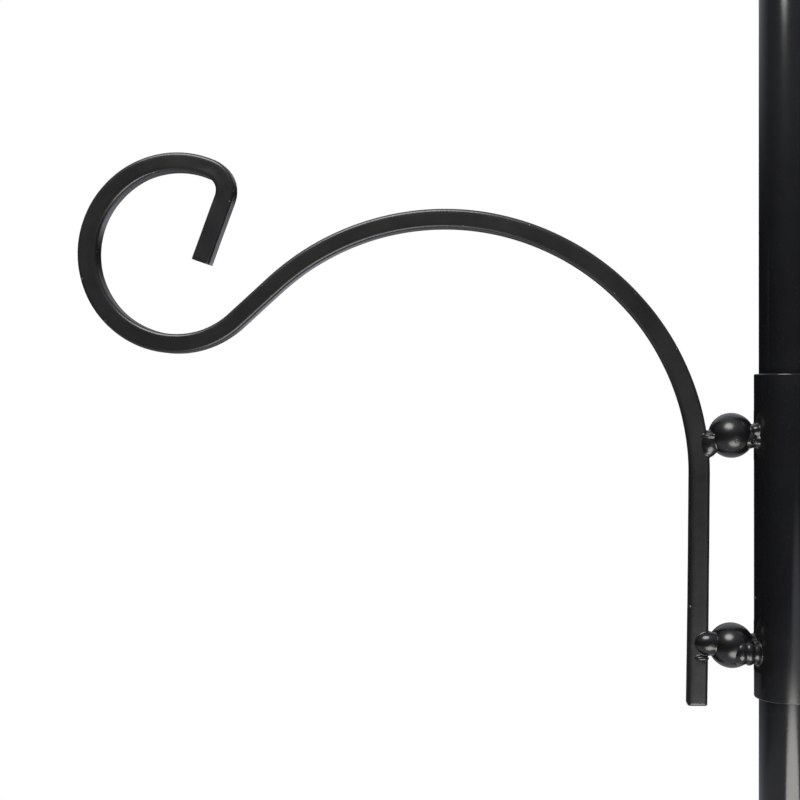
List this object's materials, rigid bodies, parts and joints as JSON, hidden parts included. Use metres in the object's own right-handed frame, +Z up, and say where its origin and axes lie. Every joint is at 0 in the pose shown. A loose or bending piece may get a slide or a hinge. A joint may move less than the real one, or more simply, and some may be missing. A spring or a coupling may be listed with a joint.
{
  "type": "garden pole with hanging arm",
  "caption": "Black garden pole in push-fit tube sections on a ground fork, with a sliding sleeve that carries an arched square-bar hook for a bird feeder.",
  "frame": {"origin": "on the pole's centre line at the ground, under the level runs of the fork's prongs", "axes": "+Z up the pole; -X towards the hook; the arm's bar lies in the XZ plane"},
  "size_m": [0.3791, 0.114, 1.5658],
  "materials": {
    "pole_coat": "satin black powder coat",
    "arm_coat": "satin black powder coat",
    "ball_coat": "semi-gloss black powder coat",
    "weld_coat": "semi-gloss black powder coat over weld",
    "fork_coat": "satin black powder coat",
    "finial_coat": "semi-gloss black powder coat",
    "black_knob": "moulded black nylon",
    "black_plug": "moulded black polyethylene",
    "zinc_steel": "bright zinc plate",
    "white_nylon": "natural nylon"
  },
  "bodies": {
    "ground_fork": {"fork_socket": "fork_coat", "centre_spike": "fork_coat", "spike_weld": "weld_coat", "ground_prong_1": "fork_coat", "ground_prong_2": "fork_coat", "ground_prong_3": "fork_coat", "ground_prong_4": "fork_coat", "prong_weld_1": "weld_coat", "prong_weld_2": "weld_coat", "prong_weld_3": "weld_coat", "prong_weld_4": "weld_coat"},
    "lower_section": {"lower_pole": "pole_coat"},
    "middle_section": {"middle_pole": "pole_coat"},
    "upper_section": {"upper_pole": "pole_coat"},
    "hanging_arm": {"sleeve": "pole_coat", "hook_arm": "arm_coat", "upper_ball": "ball_coat", "lower_ball": "ball_coat", "upper_ball_arm_weld": "weld_coat", "upper_ball_sleeve_weld": "weld_coat", "lower_ball_arm_weld": "weld_coat", "lower_ball_sleeve_weld": "weld_coat", "clamp_nut": "arm_coat", "clamp_nut_weld": "weld_coat"},
    "clamp_tip": {"clamp_pad": "white_nylon"},
    "clamp_handle": {"clamp_screw": "zinc_steel", "clamp_knob": "black_knob"},
    "finial": {"finial_plug": "black_plug", "finial_collar": "finial_coat", "finial_ball": "finial_coat", "finial_stud": "zinc_steel"}
  },
  "joints": [
    {"name": "lower_section_lift", "type": "slide", "parent": "ground_fork", "child": "lower_section", "axis": [0, 0, 1], "range_m": [0, 0.095]},
    {"name": "middle_section_lift", "type": "slide", "parent": "lower_section", "child": "middle_section", "axis": [0, 0, 1], "range_m": [0, 0.055]},
    {"name": "upper_section_turn", "type": "hinge", "parent": "middle_section", "child": "upper_section", "pos_m": [0, 0, 0.89], "axis": [0, 0, 1], "continuous": true},
    {"name": "arm_slide", "type": "slide", "parent": "upper_section", "child": "hanging_arm", "axis": [0, 0, 1], "range_m": [-0.81, 0.21]},
    {"name": "screw_travel", "type": "slide", "parent": "hanging_arm", "child": "clamp_tip", "axis": [1, 0, 0], "range_m": [0, 0.0041]},
    {"name": "knob_turn", "type": "hinge", "parent": "clamp_tip", "child": "clamp_handle", "pos_m": [0.03, 0, 1.0015], "axis": [1, 0, 0], "range_deg": [0, 1152]},
    {"name": "finial_lift", "type": "slide", "parent": "upper_section", "child": "finial", "axis": [0, 0, 1], "range_m": [0, 0.02]}
  ],
  "couplings": [
    {"joint": "screw_travel", "follows": "knob_turn", "m_per_rad": 0.00019894}
  ]
}
